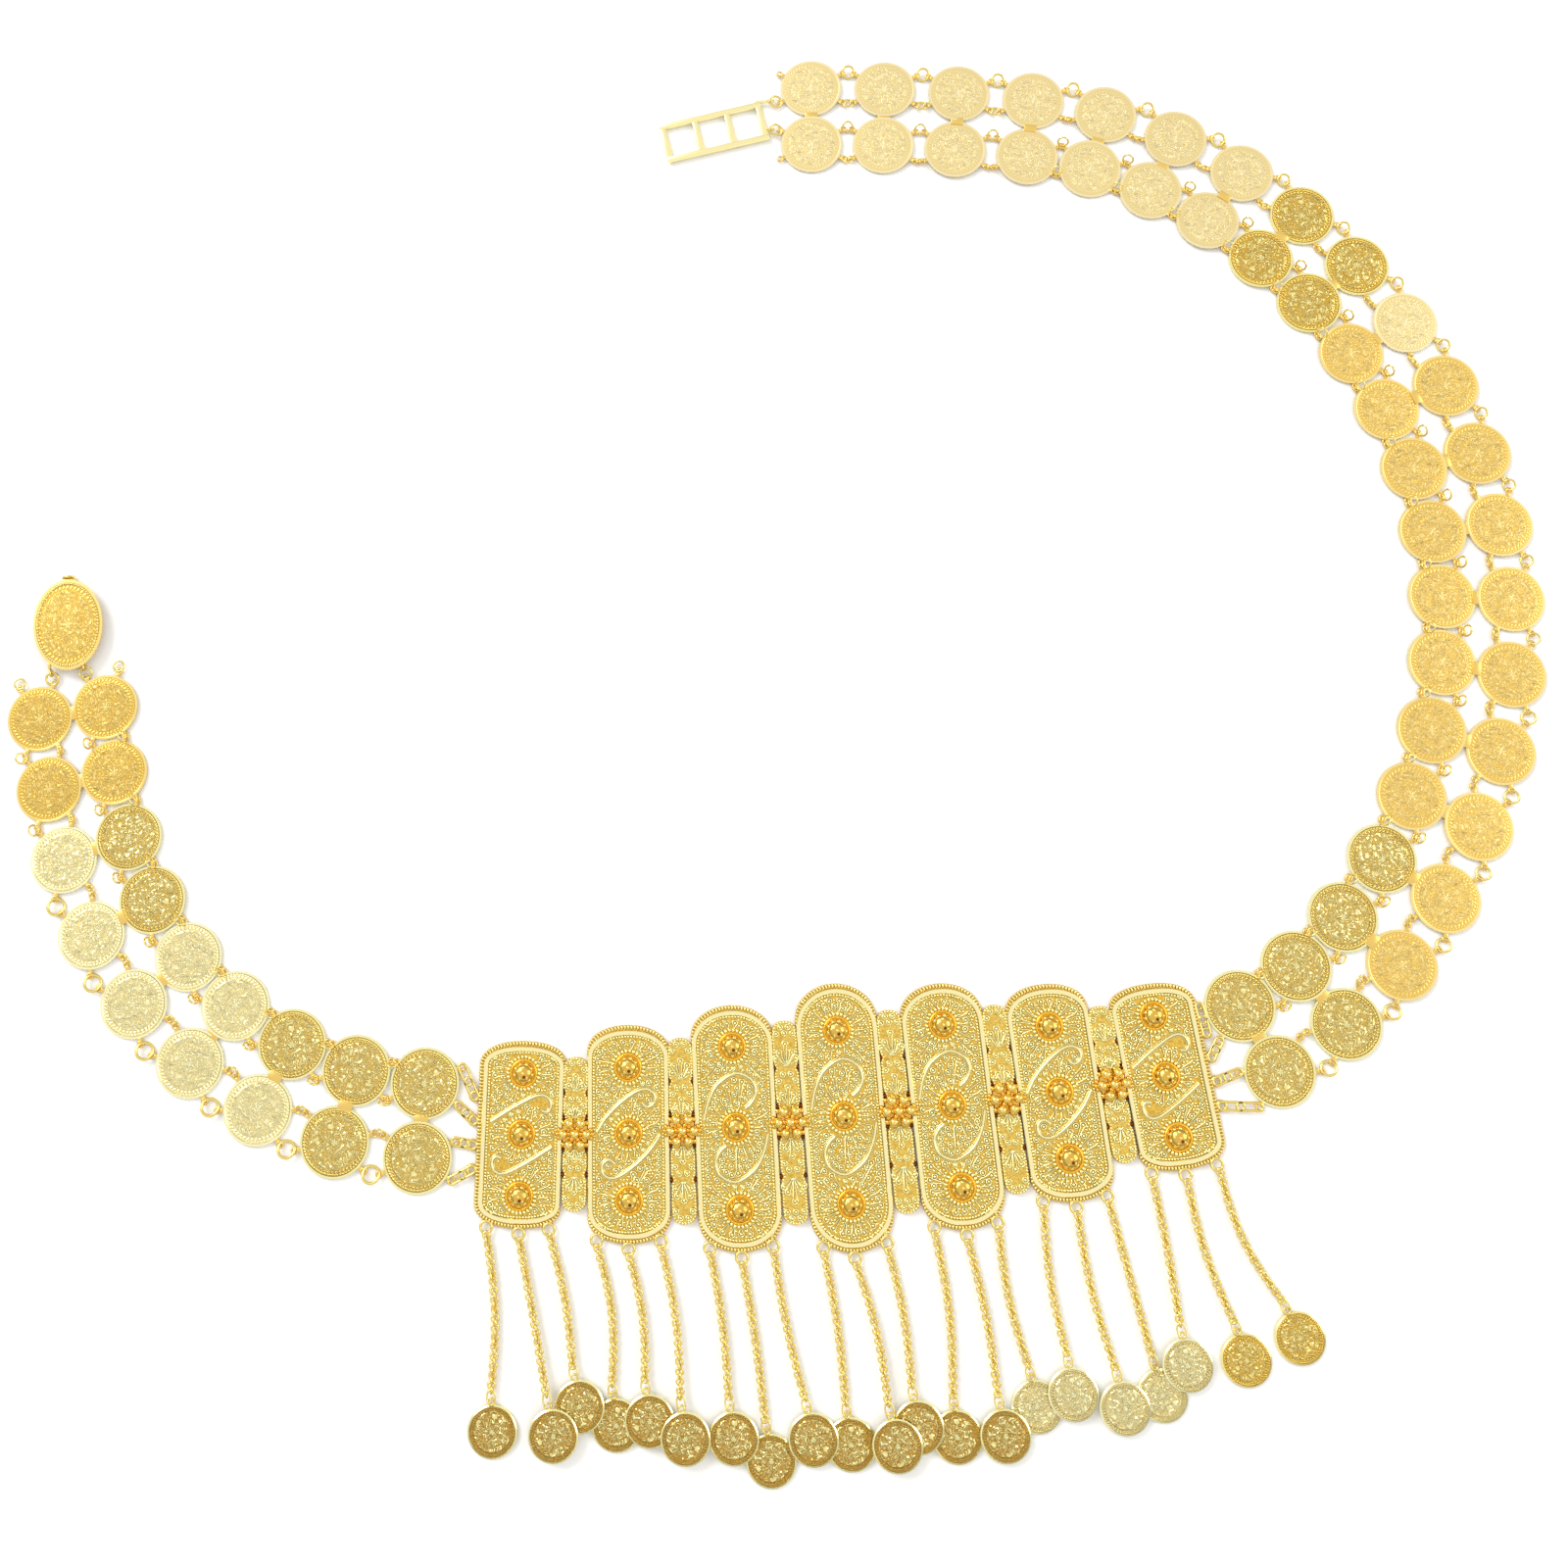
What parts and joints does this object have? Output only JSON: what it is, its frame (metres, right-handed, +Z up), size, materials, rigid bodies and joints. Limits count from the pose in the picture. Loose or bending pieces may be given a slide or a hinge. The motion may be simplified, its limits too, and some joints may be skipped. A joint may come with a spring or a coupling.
{
  "type": "coin waist chain",
  "caption": "Waist chain laid flat: bands of paired coins, narrow filigree plaques with bosses, small coin pendants on chains, and a hook-and-ladder clasp.",
  "frame": {"origin": "middle of the chain's bounding box as it lies, on the surface it lies on", "axes": "+Z up from the surface, +X across the chain towards its right band, -Y towards the tips of the pendants"},
  "size_m": [0.4902, 0.4526, 0.0052],
  "materials": {
    "pale gold plate": "polished, pale gold plated, fine stamped relief",
    "mid gold plate": "polished, gold plated",
    "orange gold plate": "polished, warm gold plated"
  },
  "bodies": {
    "chain": {"coin_pair_right_01": "pale gold plate", "coin_pair_right_02": "pale gold plate", "coin_pair_right_03": "pale gold plate", "coin_pair_right_04": "pale gold plate", "coin_pair_right_05": "pale gold plate", "coin_pair_right_06": "pale gold plate", "coin_pair_right_07": "pale gold plate", "coin_pair_right_08": "pale gold plate", "coin_pair_right_09": "pale gold plate", "coin_pair_right_10": "pale gold plate", "coin_pair_right_11": "pale gold plate", "coin_pair_right_12": "pale gold plate", "coin_pair_right_13": "pale gold plate", "coin_pair_right_14": "pale gold plate", "coin_pair_right_15": "pale gold plate", "coin_pair_right_16": "pale gold plate", "coin_pair_right_17": "pale gold plate", "coin_pair_right_18": "pale gold plate", "coin_pair_right_19": "pale gold plate", "coin_pair_right_20": "pale gold plate", "coin_pair_right_21": "pale gold plate", "coin_pair_left_01": "pale gold plate", "coin_pair_left_02": "pale gold plate", "coin_pair_left_03": "pale gold plate", "coin_pair_left_04": "pale gold plate", "coin_pair_left_05": "pale gold plate", "coin_pair_left_06": "pale gold plate", "coin_pair_left_07": "pale gold plate", "coin_pair_left_08": "pale gold plate", "coin_pair_left_09": "pale gold plate", "plaque_1": "mid gold plate", "pendants_1": "mid gold plate", "plaque_2": "mid gold plate", "pendants_2": "mid gold plate", "plaque_3": "mid gold plate", "pendants_3": "mid gold plate", "plaque_4": "mid gold plate", "pendants_4": "mid gold plate", "plaque_5": "mid gold plate", "pendants_5": "mid gold plate", "plaque_6": "mid gold plate", "pendants_6": "mid gold plate", "plaque_7": "mid gold plate", "pendants_7": "mid gold plate", "spacer_1": "orange gold plate", "spacer_2": "orange gold plate", "spacer_3": "orange gold plate", "spacer_4": "orange gold plate", "spacer_5": "orange gold plate", "spacer_6": "orange gold plate"},
    "ladder": {"clasp_ladder": "pale gold plate"},
    "medallion": {"hook_medallion": "pale gold plate"}
  },
  "joints": [
    {"name": "ladder_hinge", "type": "hinge", "parent": "chain", "child": "ladder", "pos_m": [0.00304, 0.20527, 0.00166], "axis": [0.0087, 1, 0], "range_deg": [0, 90]},
    {"name": "medallion_hinge", "type": "hinge", "parent": "chain", "child": "medallion", "pos_m": [-0.22674, 0.01049, 0.00166], "axis": [0.9842, 0.1771, 0], "range_deg": [0, 60]}
  ]
}
